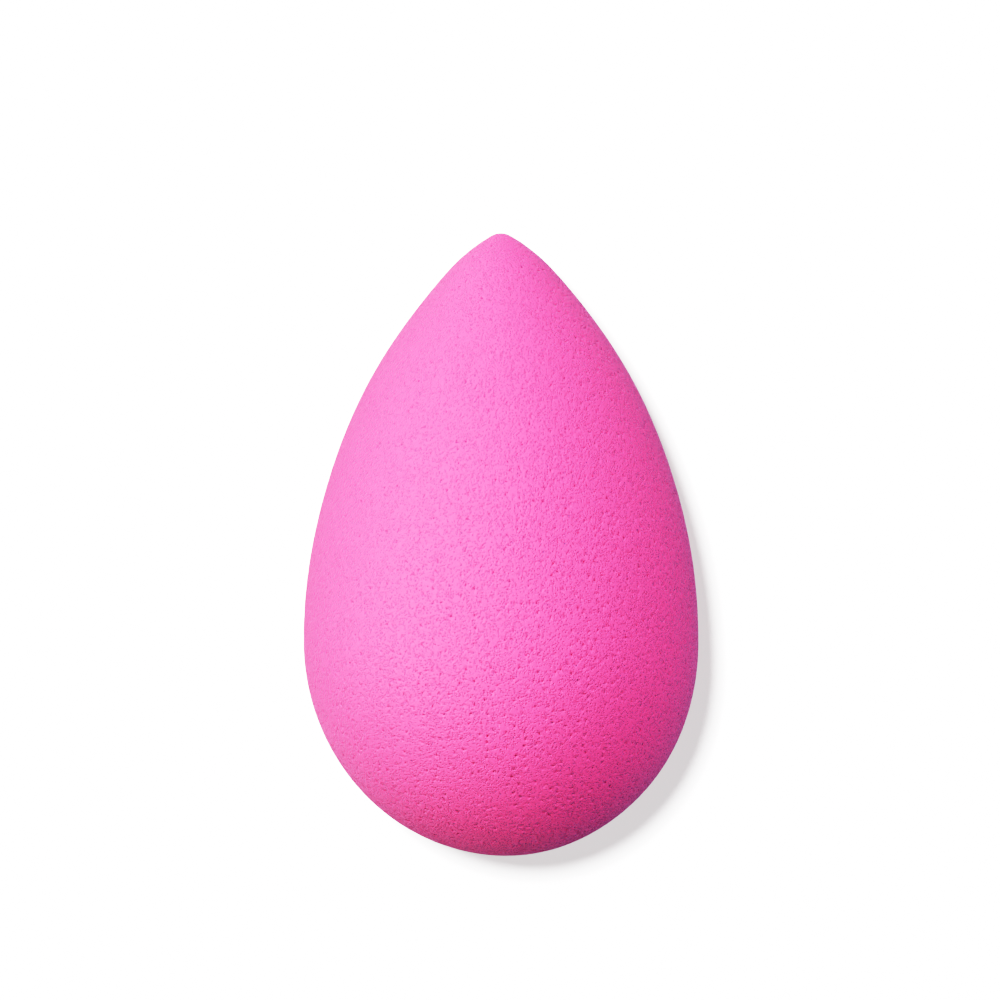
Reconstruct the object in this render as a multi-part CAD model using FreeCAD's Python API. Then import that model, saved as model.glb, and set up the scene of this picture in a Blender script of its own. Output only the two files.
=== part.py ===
"""Teardrop makeup sponge: one piece of foam, lying on its side.

The sponge is a body of revolution. It has a rounded base, a belly at its widest
section, a long curved flank, and a blunter nose that ends in a small round tip.
Left on a table it rolls onto its side and dips a little towards the tip, until
its centre of mass is straight over the spot that it touches. It is modelled
lying like that, with +Z up, the tip towards +Y, and the origin in the middle of
the flat that the soft foam rests on. Lengths are in millimetres.
"""

import FreeCAD
import Part
import math
import os

# The outline, measured along the sponge's own axis
SPONGE_LENGTH = 62.0
BELLY_DIAMETER = 39.4
BASE_TO_BELLY = 21.25

# The pointed end: a small round tip, and a nose that trims the flank down to it
TIP_RADIUS = 1.85
NOSE_RADIUS = 18.0
NOSE_TRIM = 0.55

# How far the foam settles where it lies on the table
REST_FLAT_DEPTH = 0.5

# How far a cutting block reaches past what it cuts
CUT_OVERRUN = 5.0

# Places on the outline, which is drawn in the XY plane with the axis along Y
BELLY_RADIUS = BELLY_DIAMETER / 2
BELLY_Y = BASE_TO_BELLY
TIP_Y = SPONGE_LENGTH
TIP_CENTRE_Y = TIP_Y - TIP_RADIUS

ORIGIN = FreeCAD.Vector(0, 0, 0)
X_AXIS = FreeCAD.Vector(1, 0, 0)
Y_AXIS = FreeCAD.Vector(0, 1, 0)
Z_AXIS = FreeCAD.Vector(0, 0, 1)


def flank_radius():
    """The one radius that leaves the belly along the axis and runs smoothly into an untrimmed tip."""
    untrimmed_tip = TIP_RADIUS + NOSE_TRIM
    rise = TIP_CENTRE_Y - BELLY_Y
    reach = BELLY_RADIUS - untrimmed_tip
    return (rise**2 + BELLY_RADIUS**2 - untrimmed_tip**2) / (2 * reach)


def nose_centre(flank_centre, tip_centre):
    """The centre of the nose's arc, which touches the flank's arc and the tip's arc."""
    from_flank = flank_radius() - NOSE_RADIUS
    from_tip = NOSE_RADIUS - TIP_RADIUS
    towards_tip = tip_centre - flank_centre
    apart = towards_tip.Length
    along = (from_flank**2 - from_tip**2 + apart**2) / (2 * apart)
    aside = math.sqrt(from_flank**2 - along**2)
    forward = towards_tip / apart
    outward = FreeCAD.Vector(forward.y, -forward.x, 0)
    return flank_centre + forward * along + outward * aside


def bearing(start, end):
    """The angle from one point to another in the XY plane, in radians from +X."""
    step = end - start
    return math.atan2(step.y, step.x)


def arc_about(centre, radius, start_angle, end_angle):
    """An arc in the XY plane from one angle to another, in radians from +X."""
    angles = (start_angle, (start_angle + end_angle) / 2, end_angle)
    points = [
        centre + FreeCAD.Vector(radius * math.cos(angle), radius * math.sin(angle), 0)
        for angle in angles
    ]
    return Part.Arc(*points).toShape()


def base_edge():
    """A quarter ellipse from the base's pole to the belly, as an exact rational curve."""
    pole = ORIGIN
    corner = FreeCAD.Vector(BELLY_RADIUS, 0, 0)
    belly = FreeCAD.Vector(BELLY_RADIUS, BELLY_Y, 0)
    quarter_ellipse = Part.BezierCurve()
    quarter_ellipse.setPoles([pole, corner, belly])
    quarter_ellipse.setWeight(2, math.sqrt(0.5))
    return quarter_ellipse.toShape()


def flank_nose_and_tip_edges():
    """The long flank, the nose and the round tip, each meeting the next where both run the same way."""
    radius = flank_radius()
    flank_middle = FreeCAD.Vector(BELLY_RADIUS - radius, BELLY_Y, 0)
    tip_middle = FreeCAD.Vector(0, TIP_CENTRE_Y, 0)
    nose_middle = nose_centre(flank_middle, tip_middle)
    nose_start = bearing(flank_middle, nose_middle)
    nose_end = bearing(nose_middle, tip_middle)
    flank = arc_about(flank_middle, radius, 0, nose_start)
    nose = arc_about(nose_middle, NOSE_RADIUS, nose_start, nose_end)
    tip = arc_about(tip_middle, TIP_RADIUS, nose_end, math.pi / 2)
    return flank, nose, tip


def skin_outline():
    """The outline of the sponge's skin, from the base's pole to the tip."""
    return Part.Wire([base_edge(), *flank_nose_and_tip_edges()])


def teardrop():
    """The whole sponge before it lies down: its outline turned about the Y axis."""
    axis_edge = Part.makeLine(FreeCAD.Vector(0, TIP_Y, 0), ORIGIN)
    half_section = Part.Face(Part.Wire([*skin_outline().Edges, axis_edge]))
    return half_section.revolve(ORIGIN, Y_AXIS, 360)


def rest_spot(centre_of_mass):
    """The spot of the outline nearest to the centre of mass: a body lies with it underneath."""
    _, nearest_pairs, _ = Part.Vertex(centre_of_mass).distToShape(skin_outline())
    return nearest_pairs[0][1]


def dip_angle(centre_of_mass):
    """How far the axis dips towards the tip when the sponge lies on its side, in degrees."""
    spot = rest_spot(centre_of_mass)
    return math.degrees(math.atan2(spot.y - centre_of_mass.y, spot.x))


def lay_down(body):
    """Turns the sponge onto its side, with its rest spot just under the origin."""
    weight = body.CenterOfMass
    spot = rest_spot(weight)
    body.translate(FreeCAD.Vector(0, -spot.y, spot.x))
    body.rotate(ORIGIN, X_AXIS, -dip_angle(weight))
    body.translate(Z_AXIS * -REST_FLAT_DEPTH)
    return body


def block_under_table():
    """A block that fills the space under z = 0, larger than the sponge each way."""
    width = BELLY_DIAMETER + CUT_OVERRUN
    length = SPONGE_LENGTH + CUT_OVERRUN
    height = REST_FLAT_DEPTH + CUT_OVERRUN
    corner = FreeCAD.Vector(-width, -length, -height)
    return Part.makeBox(2 * width, 2 * length, height, corner)


def sponge():
    """The sponge lying on its side, with the flat that it rests on."""
    lying = lay_down(teardrop())
    return lying.cut(block_under_table()).Solids[0]


def rest_flat(body):
    """The face that the sponge rests on, which is its only flat one."""
    return next(face for face in body.Faces if isinstance(face.Surface, Part.Plane))


def print_sizes(body):
    """Prints the sizes that show the sponge is whole and lies steadily."""
    box = body.optimalBoundingBox(False)
    flat = rest_flat(body).BoundBox
    weight = body.CenterOfMass
    print(f"valid {body.isValid()}, volume {body.Volume:.1f} mm3, skin {body.Area:.1f} mm2")
    print(f"box x {box.XMin:.3f} to {box.XMax:.3f}, y {box.YMin:.3f} to {box.YMax:.3f}")
    print(f"highest point {box.ZMax:.3f}, rest flat at {flat.ZMin:.3f}")
    print(f"flank radius {flank_radius():.2f}")
    print(f"axis dips {dip_angle(teardrop().CenterOfMass):.2f} degrees towards the tip")
    print(f"rest flat x {flat.XMin:.2f} to {flat.XMax:.2f}, y {flat.YMin:.2f} to {flat.YMax:.2f}")
    print(f"centre of mass y {weight.y:.3f}, z {weight.z:.3f}")


def main():
    os.makedirs("parts", exist_ok=True)
    body = sponge()
    body.exportStep("parts/sponge.step")
    print_sizes(body)


main()
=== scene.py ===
# %% [markdown]
# # A teardrop makeup sponge
#
# A makeup sponge is one piece of soft open-cell foam, ground to the shape of a
# drop. This lesson builds its skin, opens a few thousand real pores in it, gives
# it the matt pink of dyed polyurethane and lights it like a small studio still.
# All lengths that a maker would measure are in millimetres, and Blender works in
# metres, so MM turns one into the other.

# %% Load the frame
import math
import random

import bmesh
import bpy
import numpy
from mathutils import Matrix, Vector, geometry, noise


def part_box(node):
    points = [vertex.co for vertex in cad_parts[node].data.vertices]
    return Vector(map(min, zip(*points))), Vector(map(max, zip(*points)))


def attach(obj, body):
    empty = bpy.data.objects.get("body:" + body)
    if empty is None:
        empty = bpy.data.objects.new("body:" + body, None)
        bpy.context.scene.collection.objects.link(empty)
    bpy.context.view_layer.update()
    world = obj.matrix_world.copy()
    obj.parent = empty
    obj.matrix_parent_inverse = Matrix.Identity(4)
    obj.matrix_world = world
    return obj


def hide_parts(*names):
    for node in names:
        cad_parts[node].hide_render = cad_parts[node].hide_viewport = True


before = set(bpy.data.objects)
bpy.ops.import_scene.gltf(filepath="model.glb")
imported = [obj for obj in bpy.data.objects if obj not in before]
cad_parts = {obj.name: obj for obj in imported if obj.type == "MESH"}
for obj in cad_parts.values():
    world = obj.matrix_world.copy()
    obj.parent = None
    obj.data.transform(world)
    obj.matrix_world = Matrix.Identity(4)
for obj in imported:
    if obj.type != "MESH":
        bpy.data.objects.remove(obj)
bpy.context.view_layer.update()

MM = 0.001
cad_low, cad_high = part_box("sponge")
for corner_name, corner in (("low", cad_low), ("high", cad_high)):
    print("CAD box,", corner_name, "corner", [round(c / MM, 2) for c in corner], "mm")

# %% [markdown]
# ## The outline
#
# Seen from the side the sponge is four smooth curves: a base that is a quarter
# of an ellipse, a long flank that is one arc, a blunter nose, and a small round
# tip. The widest section, the belly, comes from the frame. The flank's radius
# isn't free: only one radius leaves the belly straight and runs on into a tip a
# little larger than the real one, which the nose then trims down. A traced row of
# points could follow a photograph more closely, but it would bring its own
# ripples, and a few arcs are what a grinding wheel leaves.

# %% Sizes of the outline, in millimetres
SPONGE_LENGTH = 62.0
BASE_TO_BELLY = 21.25
TIP_RADIUS = 1.85
NOSE_RADIUS = 18.0
NOSE_TRIM = 0.55
BELLY_RADIUS = cad_high.x / MM

untrimmed_tip = TIP_RADIUS + NOSE_TRIM
flank_rise = SPONGE_LENGTH - TIP_RADIUS - BASE_TO_BELLY
flank_reach = BELLY_RADIUS - untrimmed_tip
FLANK_RADIUS = (flank_rise**2 + BELLY_RADIUS**2 - untrimmed_tip**2) / (2 * flank_reach)
print("belly radius", round(BELLY_RADIUS, 2), "mm, flank radius", round(FLANK_RADIUS, 2), "mm")

# %% [markdown]
# Where two arcs meet smoothly, their centres and the meeting point lie in one
# line. So the nose's centre is as far from the flank's centre as their radii
# differ, and as far from the tip's centre as those radii differ. Two circles
# cross twice, and the nose is the crossing that is further out.

# %% Where the arcs meet
flank_middle = Vector((BELLY_RADIUS - FLANK_RADIUS, BASE_TO_BELLY))
tip_middle = Vector((0, SPONGE_LENGTH - TIP_RADIUS))
crossings = geometry.intersect_sphere_sphere_2d(
    flank_middle, FLANK_RADIUS - NOSE_RADIUS, tip_middle, NOSE_RADIUS - TIP_RADIUS)
nose_middle = max(crossings, key=lambda crossing: crossing.x)
nose_start = math.atan2(*(nose_middle - flank_middle).yx)
nose_end = math.atan2(*(tip_middle - nose_middle).yx)
nose_turn = [round(math.degrees(angle), 1) for angle in (nose_start, nose_end)]
print("the nose turns from", nose_turn[0], "to", nose_turn[1], "degrees")

# %% The outline as points, from the base's pole to the tip
OUTLINE_STEPS = 1500


def arc(centre, radius, height, start, end):
    """Points of an arc or a piece of an ellipse: how far each is from the axis, and how high."""
    angle = numpy.linspace(start, end, OUTLINE_STEPS)
    return centre.x + radius * numpy.cos(angle), centre.y + height * numpy.sin(angle)


QUARTER = math.pi / 2
curves = [
    arc(Vector((0, BASE_TO_BELLY)), BELLY_RADIUS, BASE_TO_BELLY, -QUARTER, 0),
    arc(flank_middle, FLANK_RADIUS, FLANK_RADIUS, 0, nose_start),
    arc(nose_middle, NOSE_RADIUS, NOSE_RADIUS, nose_start, nose_end),
    arc(tip_middle, TIP_RADIUS, TIP_RADIUS, nose_end, QUARTER),
]
skin_radius, skin_height = numpy.hstack(curves)
ring_lengths = numpy.hypot(numpy.diff(skin_radius), numpy.diff(skin_height))
ring_areas = math.pi * (skin_radius[1:] + skin_radius[:-1]) * ring_lengths
area_below = numpy.concatenate([[0], numpy.cumsum(ring_areas)])
print("skin", round(area_below[-1]), "mm2")

# %% [markdown]
# ## An even skin
#
# Spinning the outline about its axis is the usual way to make such a body, but a
# spun mesh crowds its points at both poles, and pores set on them would shrink
# there. An icosphere has its points spread evenly, so the skin starts as a ball
# and is reshaped afterwards.

# %% Start with a ball
BALL_SUBDIVISIONS = 7

skin = bmesh.new()
bmesh.ops.create_icosphere(skin, subdivisions=BALL_SUBDIVISIONS, radius=1)
print("skin points", len(skin.verts), "faces", len(skin.faces))

# %% [markdown]
# ## A flat map of the skin
#
# A texture that is baked later needs a flat map of the skin. An automatic unwrap
# would cut thousands of pores into crumbs. A ball opens into one square instead:
# its upper half is pressed flat into a diamond, and its lower half, slit from
# belly to pole in four places, folds out into the square's corners. It is made
# now, while the ball is still round, and the pores follow it when they are cut.

# %% Unfold the ball into a square
MAP_SHARE = 0.97

flat_map = skin.loops.layers.uv.new("OFBake")
for face in skin.faces:
    middle = face.calc_center_median()
    side = [math.copysign(1, c) for c in middle]
    for corner in face.loops:
        x, y, z = (c * s for c, s in zip(corner.vert.co, side))
        x, y = x / (x + y + z), y / (x + y + z)
        if middle.z < 0:
            x, y = 1 - y, 1 - x
        corner[flat_map].uv = [(1 + MAP_SHARE * c * s) / 2 for c, s in zip((x, y), side)]
spread = [c for face in skin.faces for corner in face.loops for c in corner[flat_map].uv]
print("map from", round(min(spread), 3), "to", round(max(spread), 3))

# %% [markdown]
# ## From ball to drop
#
# Each point keeps its turn about the axis and slides to the height where the drop
# has the same share of its skin below it as the ball has. Equal areas stay equal,
# so the points stay evenly spread from the base to the tip. The foam is ground by
# hand, and this one's base leans to the right by a third of a millimetre.

# %% Reshape the ball into the drop
BASE_LEAN = 0.35

for point in skin.verts:
    area_here = (1 + point.co.z) / 2 * area_below[-1]
    radius = numpy.interp(area_here, area_below, skin_radius)
    height = numpy.interp(area_here, area_below, skin_height)
    lean = BASE_LEAN * max(0, 1 - height / BASE_TO_BELLY) ** 2
    around = point.co.xy.normalized() * radius
    point.co = Vector((around.x + lean, around.y, height)) * MM
print("drop", round(max(point.co.z for point in skin.verts) / MM, 2), "mm long")

# %% [markdown]
# ## Lying on its side
#
# A drop won't stand on its round base. It rolls onto its side and dips towards
# the tip until its weight is over the spot that it touches, 9.13 degrees below
# level. The CAD solid lies like that, so the skin is turned by the same angle
# and moved until its highest and furthest points meet the solid's.

# %% Turn the drop and set it in the frame
AXIS_DIP = math.radians(9.13)

lay_down = Matrix.Rotation(-QUARTER - AXIS_DIP, 4, "X")
bmesh.ops.transform(skin, matrix=lay_down, verts=skin.verts)
furthest = max(point.co.y for point in skin.verts)
highest = max(point.co.z for point in skin.verts)
into_frame = Vector((0, cad_high.y - furthest, cad_high.z - highest))
bmesh.ops.translate(skin, vec=into_frame, verts=skin.verts)
print("moved by", [round(c / MM, 2) for c in into_frame], "mm")
print("lowest point before it settles", round(min(point.co.z for point in skin.verts) / MM, 2), "mm")

# %% [markdown]
# ## Ground by hand, and soft
#
# Foam is ground on a wheel and is never perfectly round: the outline wavers by
# about a tenth of a millimetre. Blender's noise moves each point along its normal
# by that much, in waves as long as a fingertip, with a much finer roughness from
# the torn cell walls on top. Under its own weight the foam also settles, so what
# would lie below the table is pressed up to it, over a soft edge and not a sharp
# one.

# %% Waver, roughen and settle
WAVER, WAVER_LENGTH = 0.12, 14.0
ROUGHNESS_DEPTH, ROUGHNESS_LENGTH = 0.02, 0.5
SETTLE_EDGE = 0.12

skin.normal_update()
shifts = []
for point in skin.verts:
    waver = noise.noise(point.co / (WAVER_LENGTH * MM)) * WAVER
    roughness = noise.noise(point.co / (ROUGHNESS_LENGTH * MM)) * ROUGHNESS_DEPTH
    shifts.append(waver + roughness)
for point, shift in zip(skin.verts, shifts):
    point.co += point.normal * shift * MM


def pressed_up(height):
    """A height in metres with what lies below the table pressed up to it."""
    return (height + math.hypot(height, SETTLE_EDGE * MM)) / 2


for point in skin.verts:
    point.co.z = pressed_up(point.co.z)
print("skin moved by", round(min(shifts), 3), "to", round(max(shifts), 3), "mm")

# %% [markdown]
# ## Pores
#
# Foam is full of bubbles, and grinding cuts the outer ones open. Most are too
# fine to see, but every square millimetre or two has one that shows as a dark
# dot. Bump alone would leave the mesh smooth, so these are real holes. A point
# that is dissolved leaves a six-sided face. Two insets in that face give a pore
# its rim and its floor, which then get a size, a place and a depth of their own.
# Points on a slit of the flat map are left alone, because a pore there would be
# torn in two on the map.

# %% Choose where the pores open
PORE_COUNT = 4800
PORE_SEED = 11
MAP_DIGITS = 4

draw = random.Random(PORE_SEED)
candidates = list(skin.verts)
draw.shuffle(candidates)
taken = set()
pore_points = []
for point in candidates:
    if len(pore_points) == PORE_COUNT:
        break
    places = {corner[flat_map].uv.to_tuple(MAP_DIGITS) for corner in point.link_loops}
    if point in taken or len(places) > 1:
        continue
    pore_points.append(point)
    taken.add(point)
    taken.update(edge.other_vert(point) for edge in point.link_edges)
bmesh.ops.dissolve_verts(skin, verts=pore_points)
pores = [face for face in skin.faces if len(face.verts) > 3]
print("pores", len(pores), "of", PORE_COUNT)

# %% Open the pores
PORE_RADIUS_SMALL, PORE_RADIUS_LARGE = 0.05, 0.14
LARGE_PORES_ARE_RARE = 2.2
PORE_DEPTH_SHARE = 1.0
PORE_FLOOR_SHARE = 0.55
PORE_STRAY = 0.12
FIRST_INSET = 0.1

# The floors get a mark, so that the foam's shader can paint shade into them.
pore_mark = skin.verts.layers.float.new("pore")
bmesh.ops.inset_individual(skin, faces=pores, thickness=FIRST_INSET * MM)
rims = []
for pore in pores:
    centre = pore.calc_center_median()
    normal = pore.normal.copy()
    stray = Vector([draw.uniform(-1, 1) for _ in range(3)]) * PORE_STRAY * MM
    stray -= normal * stray.dot(normal)
    span = PORE_RADIUS_LARGE - PORE_RADIUS_SMALL
    radius = (PORE_RADIUS_SMALL + span * draw.random() ** LARGE_PORES_ARE_RARE) * MM
    rims.append((centre + stray, normal, radius))
    for corner in pore.verts:
        corner.co = centre + stray + (corner.co - centre).normalized() * radius
bmesh.ops.inset_individual(skin, faces=pores, thickness=PORE_RADIUS_SMALL / 2 * MM)
for pore, (centre, normal, radius) in zip(pores, rims):
    for corner in pore.verts:
        outwards = (corner.co - centre).normalized() * radius * PORE_FLOOR_SHARE
        corner.co = centre + outwards - normal * radius * PORE_DEPTH_SHARE
        corner[pore_mark] = 1
print("pore widths", round(2 * min(r for _, _, r in rims) / MM, 2), "to",
      round(2 * max(r for _, _, r in rims) / MM, 2), "mm")

# %% [markdown]
# ## From bmesh to a piece
#
# The finished bmesh becomes one object at the origin, shaded smooth, with every
# face pointing outwards. It rides on the part's only body and stands for the CAD
# solid, which is hidden.

# %% Make the sponge object
bmesh.ops.recalc_face_normals(skin, faces=skin.faces)
for face in skin.faces:
    face.smooth = True
sponge_mesh = bpy.data.meshes.new("foam_sponge")
skin.to_mesh(sponge_mesh)
skin.free()
sponge = bpy.data.objects.new("foam_sponge", sponge_mesh)
bpy.context.scene.collection.objects.link(sponge)
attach(sponge, "root")
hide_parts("sponge")
sponge_mesh.calc_loop_triangles()
print("triangles", len(sponge_mesh.loop_triangles))

# %% [markdown]
# ## Helpers for materials
#
# Colours are written as the sRGB hex values that a colour picker shows, and a
# shader wants linear light, so one function turns one into the other. A second
# one adds a node, sets its properties and fills its sockets with values or links,
# and a third starts an empty material. A Mix node has an A and a B for each kind
# of data, all with the same names, so its colour sockets are found by number.

# %% Colour and node helpers
MIX_A, MIX_B, MIX_RESULT = 6, 7, 2


def linear(hex_colour):
    """An sRGB hex colour such as #FF80C0 as linear red, green, blue and alpha."""
    channels = [int(hex_colour[start:start + 2], 16) / 255 for start in (1, 3, 5)]
    return [c / 12.92 if c <= 0.04045 else ((c + 0.055) / 1.055) ** 2.4 for c in channels] + [1]


def add_node(tree, kind, inputs=None, **settings):
    """Adds a node: settings are its properties, inputs are socket values or outputs that feed them."""
    node = tree.nodes.new(kind)
    for name, value in settings.items():
        setattr(node, name, value)
    for socket, value in (inputs or {}).items():
        if isinstance(value, bpy.types.NodeSocket):
            tree.links.new(value, node.inputs[socket])
        else:
            node.inputs[socket].default_value = value
    return node


def new_material(name):
    """An empty node material and its tree."""
    material = bpy.data.materials.new(name)
    material.use_nodes = True
    material.node_tree.nodes.clear()
    return material, material.node_tree


print("#808080 in linear light", [round(c, 3) for c in linear("#808080")])

# %% [markdown]
# ## Dyed polyurethane foam
#
# The foam is hydrophilic polyurethane, dyed through and ground, so its skin is a
# felt of cut cells, a quarter of a millimetre wide. It is matt, it lightens a
# little at grazing angles like velvet, and raking light picks out every cell.
# Noise would wrinkle it like leather. Voronoi cells are hollow in the middle and
# have walls between them, as foam does, so one Voronoi texture gives the cells and
# a wider one the scattered pits. Both are measured in real millimetres on Object
# coordinates. Real cells vary down to a tenth of this size, too fine to be seen.

# %% The foam's cells and pits
CELL_SPACING = 0.23
CELL_WIDTH_SHARE = 0.62
PIT_SPACING = 0.42
PIT_WIDTH_SHARE = 0.3
PIT_DEPTH_SHARE = 0.3
CELL_DEPTH = 0.06

foam, tree = new_material("dyed_polyurethane_foam")
place = add_node(tree, "ShaderNodeTexCoord").outputs["Object"]


def hollows(spacing, width_share):
    """Round hollows about as far apart as spacing, in mm: their shape, and a random colour for each."""
    cells = add_node(tree, "ShaderNodeTexVoronoi", {"Vector": place, "Scale": 1 / (spacing * MM)})
    shape = add_node(tree, "ShaderNodeMapRange", {
        "Value": cells.outputs["Distance"], "From Max": width_share, "To Min": 1, "To Max": 0,
    }, interpolation_type="SMOOTHSTEP")
    return shape.outputs["Result"], cells.outputs["Color"]


cell_shape, _ = hollows(CELL_SPACING, CELL_WIDTH_SHARE)
pit_shape, pit_colour = hollows(PIT_SPACING, PIT_WIDTH_SHARE)
pit_chance = add_node(tree, "ShaderNodeSeparateColor", {"Color": pit_colour}).outputs["Red"]
pits = add_node(tree, "ShaderNodeMath", {0: pit_shape, 1: pit_chance}, operation="MULTIPLY").outputs[0]
depth = add_node(tree, "ShaderNodeMath", {
    0: pits, 1: PIT_DEPTH_SHARE, 2: cell_shape,
}, operation="MULTIPLY_ADD").outputs[0]
bumps = add_node(tree, "ShaderNodeBump", {
    "Height": depth, "Strength": 1, "Distance": CELL_DEPTH * MM,
}, invert=True).outputs["Normal"]
print("cells", CELL_SPACING, "mm apart, pits", PIT_SPACING, "mm apart")

# %% [markdown]
# Light gets lost in a hollow, so shade is painted into the colour there, where
# black would be the plain way to darken it. On the lit side of the sponge the
# hollows look mauve, which is pink with less red in it, so the painted shade mixes
# towards a dull blue. Pits take the most of it, then the cells, and then the floors
# of the real pores, which lie in their own shade as well. The sheen is a pale blue,
# because the foam's edges are cooler than its face.

# %% The foam's colour, its painted shade and its shader
FOAM_PINK = linear("#FE6191")
FOAM_PAINTED_SHADE = linear("#3F4B7C")
CELL_DARKENING = 0.5
PIT_DARKENING = 0.8
PORE_DARKENING = 0.25
FOAM_ROUGHNESS = 0.72
FOAM_IOR = 1.5
SHEEN_TINT = linear("#A0D1FF")
SHEEN_WEIGHT = 0.26
SHEEN_ROUGHNESS = 0.5

# Painted shade: cells, pits and the floors of the real pores are mixed towards a dull blue.
pore_depth = add_node(tree, "ShaderNodeAttribute", attribute_name="pore").outputs["Fac"]
darkenings = [(cell_shape, CELL_DARKENING), (pits, PIT_DARKENING), (pore_depth, PORE_DARKENING)]
shade = 0
for hollow, darkening in darkenings:
    shade = add_node(tree, "ShaderNodeMath", {
        0: hollow, 1: darkening, 2: shade,
    }, operation="MULTIPLY_ADD").outputs[0]
colour = add_node(tree, "ShaderNodeMix", {
    "Factor": shade, MIX_A: FOAM_PINK, MIX_B: FOAM_PAINTED_SHADE,
}, data_type="RGBA").outputs[MIX_RESULT]
shader = add_node(tree, "ShaderNodeBsdfPrincipled", {
    "Base Color": colour, "Roughness": FOAM_ROUGHNESS, "IOR": FOAM_IOR, "Normal": bumps,
    "Sheen Weight": SHEEN_WEIGHT, "Sheen Roughness": SHEEN_ROUGHNESS, "Sheen Tint": SHEEN_TINT,
})
add_node(tree, "ShaderNodeOutputMaterial", {"Surface": shader.outputs["BSDF"]})
sponge_mesh.materials.append(foam)
print("material", foam.name, "with", len(tree.nodes), "nodes")

# %% [markdown]
# ## A sheet of paper
#
# The sponge lies on a plain sheet of matt paper. A product still is exposed until
# the paper is pure white and only the shadow's core stays grey. White paper would
# take on a pink cast in that shadow, so this paper is a light grey with a strong
# lamp of its own, and a faint glow lifts the shadow. Paper would also throw light
# back up at the sponge's shaded side, which a photographer stops with black cards
# just outside the frame. Here the paper does that itself: the camera sees it light
# grey, and all other rays see it dark.

# %% The sheet of paper
FLOOR_SIZE = 4.0
PAPER_SEEN = linear("#AAAAAA")
PAPER_DARK = linear("#464646")
PAPER_ROUGHNESS = 0.9
PAPER_GLOW = 0.545

floor_bm = bmesh.new()
bmesh.ops.create_grid(floor_bm, x_segments=1, y_segments=1, size=FLOOR_SIZE / 2)
floor_mesh = bpy.data.meshes.new("white_sheet")
floor_bm.to_mesh(floor_mesh)
floor_bm.free()
floor = bpy.data.objects.new("white_sheet", floor_mesh)
bpy.context.scene.collection.objects.link(floor)
paper, paper_tree = new_material("matt_grey_paper")
to_camera = add_node(paper_tree, "ShaderNodeLightPath").outputs["Is Camera Ray"]
paper_colour = add_node(paper_tree, "ShaderNodeMix", {
    "Factor": to_camera, MIX_A: PAPER_DARK, MIX_B: PAPER_SEEN,
}, data_type="RGBA").outputs[MIX_RESULT]
glow = add_node(paper_tree, "ShaderNodeMath", {
    0: to_camera, 1: PAPER_GLOW,
}, operation="MULTIPLY").outputs[0]
paper_shader = add_node(paper_tree, "ShaderNodeBsdfPrincipled", {
    "Base Color": paper_colour, "Roughness": PAPER_ROUGHNESS,
    "Emission Color": linear("#FFFFFF"), "Emission Strength": glow,
})
add_node(paper_tree, "ShaderNodeOutputMaterial", {"Surface": paper_shader.outputs["BSDF"]})
floor_mesh.materials.append(paper)
print("floor", FLOOR_SIZE, "m")

# %% [markdown]
# ## Soft studio light
#
# One large soft box stands to the left of the sponge, beyond the tip, and gives
# most of the light. Four weaker ones fill in from the tip, the right, the left and
# the base. All five are hidden from glossy rays, because a box of its own at the
# left leaves the highlight, a broad pale one on the lit flank. A blue box low at
# the right turns the shaded edge lavender. A sun lamp with a wide angle gives the
# same soft shade as a box, so each box is a sun that is forty degrees wide. Light
# linking limits them to the sponge, because each would throw its own wide shadow.

# %% Lights for the sponge
BOX_WIDTH = 40


def lamp_limited_to(thing, name, bearing, elevation, strength, width=BOX_WIDTH, colour="#FFFFFF"):
    """A sun that lights one object. Its bearing turns from +X to +Y, and all angles are in degrees."""
    lamp = bpy.data.lights.new(name, "SUN")
    lamp.angle = math.radians(width)
    lamp.energy = strength
    lamp.color = linear(colour)[:3]
    box = bpy.data.objects.new(name, lamp)
    box.rotation_euler = (0, QUARTER - math.radians(elevation), math.radians(bearing))
    box.light_linking.receiver_collection = bpy.data.collections.new(name + "_receivers")
    box.light_linking.receiver_collection.objects.link(thing)
    bpy.context.scene.collection.objects.link(box)
    return box


shading_boxes = [
    lamp_limited_to(sponge, "large_box", bearing=135, elevation=35, strength=4.15),
    lamp_limited_to(sponge, "tip_box", bearing=90, elevation=55, strength=1.5),
    lamp_limited_to(sponge, "right_box", bearing=40, elevation=55, strength=1.27),
    lamp_limited_to(sponge, "left_box", bearing=187, elevation=25, strength=1.55),
    lamp_limited_to(sponge, "base_box", bearing=290, elevation=20, strength=0.25, colour="#BCCBFF"),
]
for box in shading_boxes:
    box.visible_glossy = False
glint_box = lamp_limited_to(sponge, "glint_box", bearing=178, elevation=32, strength=3.3)
glint_box.visible_diffuse = False
rim_box = lamp_limited_to(sponge, "rim_box", bearing=5, elevation=8, strength=0.9, colour="#00BCFF")
print("lights for the sponge", [box.name for box in (*shading_boxes, glint_box, rim_box)])

# %% [markdown]
# Paper that is dark to the sponge throws nothing back at its underside, which
# would look almost black from the side. Tables for such stills are often lit from
# below, and here a lamp does that. The paper would stop its light, so the sponge
# alone may block it.

# %% A light from below
under_box = lamp_limited_to(sponge, "under_box", bearing=0, elevation=-90, strength=1.4)
under_box.visible_glossy = False
under_box.light_linking.blocker_collection = under_box.light_linking.receiver_collection

# %% [markdown]
# The shadow on the paper is only a narrow grey edge to the right and below. Such
# a shadow falls from a smaller lamp that hangs nearly in line with the camera, a
# little towards the upper left. It lights the paper alone.

# %% A light for the paper
paper_box = lamp_limited_to(floor, "paper_box", bearing=113.5, elevation=73, strength=12.7, width=5.6)
print("light for the paper", paper_box.name)

# %% [markdown]
# The room around the boxes is pale, and fills the shaded side with a little even
# light. Where the camera looks past the sheet, the room is as white as the paper.

# %% The room
ROOM_FILL = 0.26
ROOM_WHITE = 2.4

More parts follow.
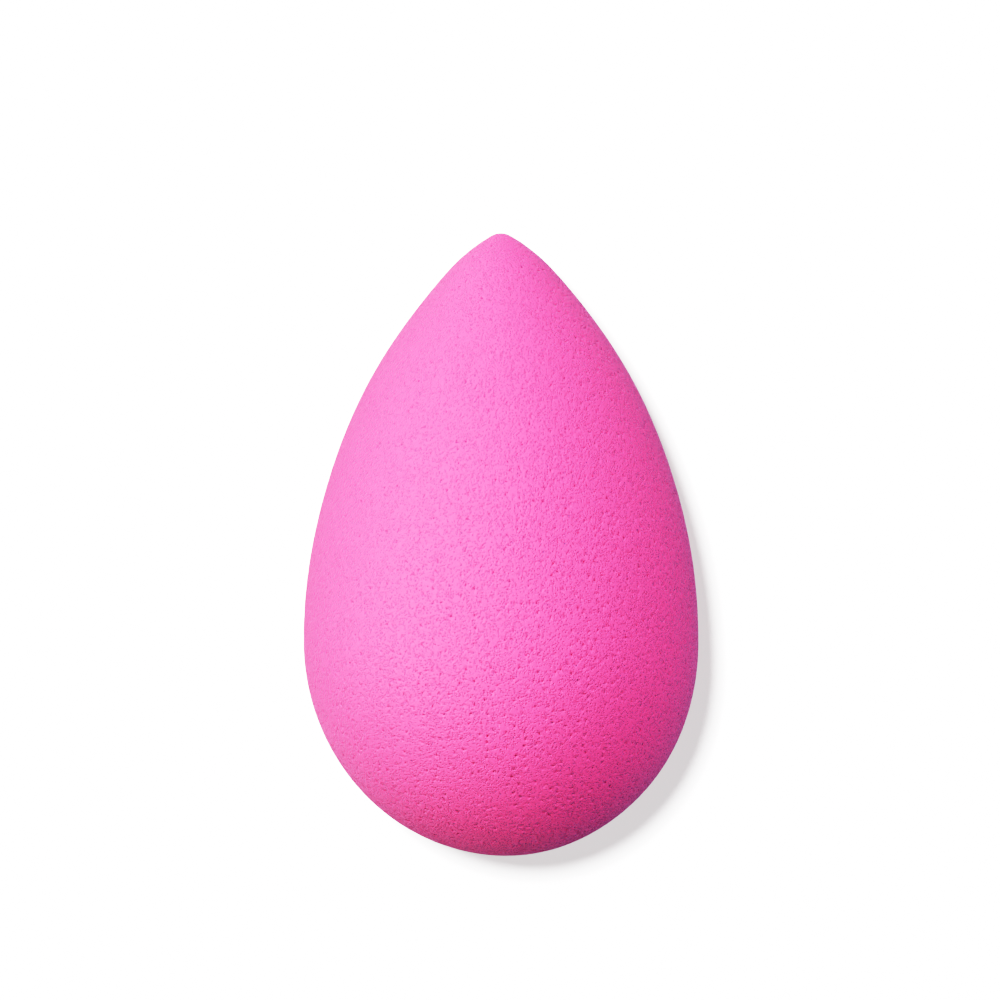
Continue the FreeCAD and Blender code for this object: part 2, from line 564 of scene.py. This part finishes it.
world = bpy.data.worlds.new("studio")
world.use_nodes = True
world.node_tree.nodes.clear()
seen = add_node(world.node_tree, "ShaderNodeLightPath").outputs["Is Camera Ray"]
room_light = add_node(world.node_tree, "ShaderNodeMapRange", {
    "Value": seen, "To Min": ROOM_FILL, "To Max": ROOM_WHITE,
}).outputs["Result"]
backdrop = add_node(world.node_tree, "ShaderNodeBackground", {
    "Color": linear("#FFFFFF"), "Strength": room_light,
})
add_node(world.node_tree, "ShaderNodeOutputWorld", {"Surface": backdrop.outputs["Background"]})
bpy.context.scene.world = world
print("room fill", ROOM_FILL)

# %% [markdown]
# ## The photograph's tone curve
#
# A product photograph isn't developed in straight linear light. Its contrast is
# raised by an S-shaped curve on each colour, which is why the lit side of the
# sponge turns pale and the shaded side turns a deep saturated pink. Near its end
# the curve runs up to pure white, for the paper. Blender has a curve for that in
# its colour management, ahead of the view transform. It holds four curves, and the
# last one works on all three colours.

# %% Tone curve
TONE_MIDDLE = 0.5
TONE_POWER = 2.3
TONE_TOP = 1.021
WHITE_FROM, WHITE_AT = 1.7, 2.2
BRIGHTEST = 2.5
TONE_POINTS = 40
ALL_COLOURS = 3
MIDDLE_GREY = 0.18


def developed(light):
    """The brightness that a printed photograph gives to a level of light."""
    ratio = (light / TONE_MIDDLE) ** TONE_POWER
    tone = TONE_TOP * ratio / (1 + ratio)
    towards_white = min(1, max(0, (light - WHITE_FROM) / (WHITE_AT - WHITE_FROM)))
    towards_white = towards_white**2 * (3 - 2 * towards_white)
    return tone + (1 - tone) * towards_white


view = bpy.context.scene.view_settings
view.view_transform = "Standard"
view.use_curve_mapping = True
view.curve_mapping.white_level = [BRIGHTEST] * 3
curve = view.curve_mapping.curves[ALL_COLOURS]
for step in range(1, TONE_POINTS):
    share = step / TONE_POINTS
    curve.points.new(share, developed(share * BRIGHTEST))
curve.points[len(curve.points) - 1].location = (1, 1)
view.curve_mapping.update()
print("middle grey,", MIDDLE_GREY, "becomes", round(developed(MIDDLE_GREY), 3))

# %% [markdown]
# ## The camera
#
# The camera looks straight down on the sponge's side, square to its axis, so it
# is tilted by the dip of the axis and not quite upright. A very long lens keeps the
# outline free of perspective, and lets the shadow stay close to it on every side.
# The frame is almost a hundred millimetres wide at the axis.

# %% Camera
FRAME_WIDTH = 99.75
LENS = 400.0
SENSOR = 36.0
AIM_FROM_BASE = 35.45
AIM_ASIDE = -0.1

aim = lay_down @ Vector((AIM_ASIDE * MM, 0, AIM_FROM_BASE * MM)) + into_frame
camera_data = bpy.data.cameras.new("camera")
camera_data.lens = LENS
camera_data.sensor_width = SENSOR
camera = bpy.data.objects.new("camera", camera_data)
camera.rotation_euler = (-AXIS_DIP, 0, 0)
backwards = camera.rotation_euler.to_matrix() @ Vector((0, 0, 1))
camera.location = aim + backwards * FRAME_WIDTH * MM * LENS / SENSOR
bpy.context.scene.collection.objects.link(camera)
bpy.context.scene.camera = camera
print("camera", [round(c, 4) for c in camera.location])
